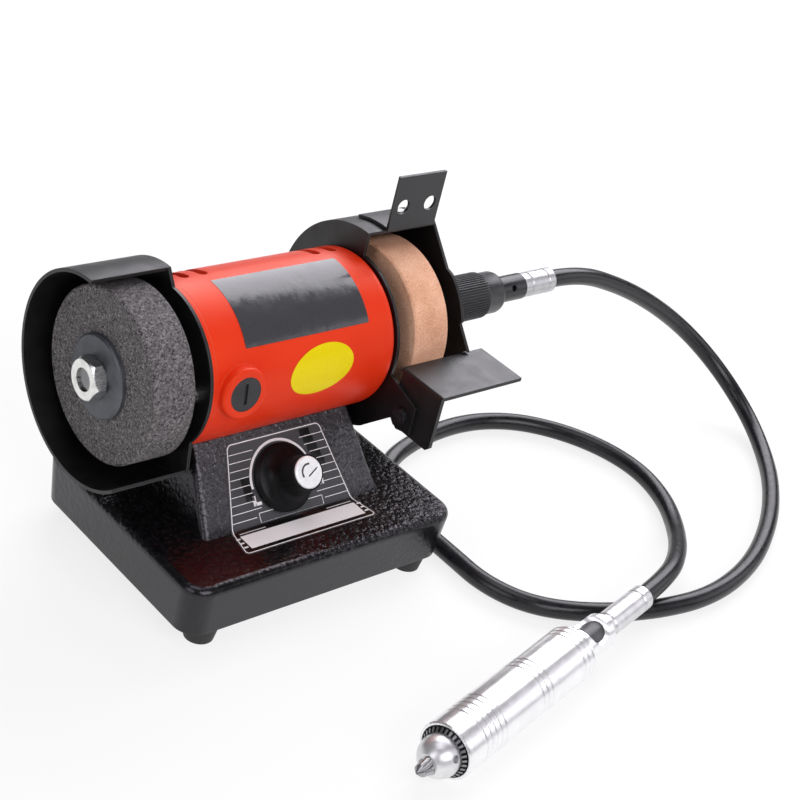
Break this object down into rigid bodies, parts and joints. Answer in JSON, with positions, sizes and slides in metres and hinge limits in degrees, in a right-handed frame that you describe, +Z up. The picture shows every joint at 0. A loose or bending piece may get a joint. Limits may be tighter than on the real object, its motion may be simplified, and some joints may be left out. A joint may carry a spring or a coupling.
{
  "type": "bench lathe grinder",
  "caption": "Mini bench grinder with a grey and a brown wheel on one motor spindle, guards, tool rest, speed dial and a flexible shaft that ends in a chuck handpiece.",
  "frame": {"origin": "bench level under the middle of the base's footprint", "axes": "+X along the spindle towards the flexible shaft, -Y to the front where the dial is, +Z up"},
  "size_m": [0.4219, 0.2354, 0.166],
  "materials": {
    "black_casting": "hammertone paint",
    "black_sheet": "semi-gloss paint",
    "orange_shell": "satin",
    "black_rubber": "matte",
    "black_plastic": "gloss",
    "zinc_steel": "bright zinc",
    "turned_steel": "turned",
    "blued_steel": "blued",
    "core_sheets": "lacquered sheets",
    "copper": "enamelled copper",
    "brass": "bright",
    "carbon": "matte",
    "grey_abrasive": "coarse grit",
    "brown_abrasive": "fine grit",
    "white_plastic": "satin",
    "bright_aluminium": "polished",
    "board_green": "satin",
    "component_grey": "satin"
  },
  "bodies": {
    "stand": {"base_casting": "black_casting", "bottom_plate": "black_sheet", "rubber_feet": "black_rubber", "foot_screws": "zinc_steel", "motor_housing": "orange_shell", "left_end_bell": "orange_shell", "motor_screws": "zinc_steel", "bearing_outer_rings": "turned_steel", "stator_core": "core_sheets", "field_coils": "copper", "brush_holders": "brass", "carbon_brushes": "carbon", "brush_springs": "turned_steel", "brush_caps": "black_plastic", "left_guard": "black_sheet", "right_guard": "black_sheet", "right_guard_cover": "black_sheet", "guard_screws": "zinc_steel", "cover_screws": "zinc_steel", "eye_shield_bracket": "black_sheet", "bracket_screws": "zinc_steel", "tool_rest_bolt": "zinc_steel", "flex_spigot": "turned_steel", "coupling_sleeve": "black_plastic", "motor_ferrule": "bright_aluminium", "flex_sheath": "black_rubber", "tool_ferrule": "bright_aluminium", "handpiece_grip": "bright_aluminium", "tail_tube": "black_plastic", "hand_bearing_outers": "turned_steel", "potentiometer": "turned_steel", "control_board": "board_green", "board_components": "component_grey", "cord_inlet_bush": "black_rubber"},
    "rotor": {"armature_shaft": "turned_steel", "armature_core": "core_sheets", "armature_windings": "copper", "commutator": "copper", "cooling_fan": "white_plastic", "bearing_inner_rings": "turned_steel", "inner_flanges": "blued_steel", "left_outer_flange": "blued_steel", "right_outer_flange": "blued_steel", "grey_wheel": "grey_abrasive", "brown_wheel": "brown_abrasive", "left_wheel_nut": "zinc_steel", "right_wheel_nut": "zinc_steel", "core_drive_end": "turned_steel"},
    "chuck": {"chuck_body": "turned_steel", "hand_spindle": "turned_steel", "hand_bearing_inners": "turned_steel"},
    "chuck_ring": {"chuck_ring": "blued_steel"},
    "jaw_1": {"chuck_jaw_1": "turned_steel"},
    "jaw_2": {"chuck_jaw_2": "turned_steel"},
    "jaw_3": {"chuck_jaw_3": "turned_steel"},
    "speed_knob": {"speed_knob": "black_plastic", "knob_cap": "bright_aluminium", "potentiometer_shaft": "turned_steel"},
    "tool_rest": {"tool_rest": "black_sheet"},
    "coupling_nut": {"coupling_nut": "black_plastic"}
  },
  "joints": [
    {"name": "spindle_spin", "type": "hinge", "parent": "stand", "child": "rotor", "pos_m": [0, 0.018, 0.0925], "axis": [1, 0, 0], "continuous": true},
    {"name": "chuck_spin", "type": "hinge", "parent": "stand", "child": "chuck", "pos_m": [-0.0215, -0.1583, 0.0125], "axis": [0.9806, 0.1951, 0.0195], "continuous": true},
    {"name": "chuck_ring_turn", "type": "hinge", "parent": "chuck", "child": "chuck_ring", "pos_m": [-0.0215, -0.1583, 0.0125], "axis": [0.9806, 0.1951, 0.0195], "range_deg": [0, 2880]},
    {"name": "jaw_1_slide", "type": "slide", "parent": "chuck", "child": "jaw_1", "axis": [0.9468, 0.1883, 0.2608], "range_m": [0, 0.0124]},
    {"name": "jaw_2_slide", "type": "slide", "parent": "chuck", "child": "jaw_2", "axis": [0.9129, 0.3952, -0.102], "range_m": [0, 0.0124]},
    {"name": "jaw_3_slide", "type": "slide", "parent": "chuck", "child": "jaw_3", "axis": [0.9947, -0.0158, -0.102], "range_m": [0, 0.0124]},
    {"name": "speed_dial", "type": "hinge", "parent": "stand", "child": "speed_knob", "pos_m": [-0.002, -0.01801, 0.0451], "axis": [0, -0.766, 0.6428], "range_deg": [-150, 150]},
    {"name": "tool_rest_slide", "type": "slide", "parent": "stand", "child": "tool_rest", "axis": [0, -1, 0], "range_m": [0, 0.0035]},
    {"name": "coupling_nut_turn", "type": "hinge", "parent": "stand", "child": "coupling_nut", "pos_m": [0.1235, 0.018, 0.0925], "axis": [1, 0, 0], "continuous": true}
  ],
  "couplings": [
    {"joint": "chuck_spin", "follows": "spindle_spin", "ratio": -1},
    {"joint": "jaw_1_slide", "follows": "chuck_ring_turn", "m_per_rad": 0.00024667},
    {"joint": "jaw_2_slide", "follows": "chuck_ring_turn", "m_per_rad": 0.00024667},
    {"joint": "jaw_3_slide", "follows": "chuck_ring_turn", "m_per_rad": 0.00024667}
  ]
}
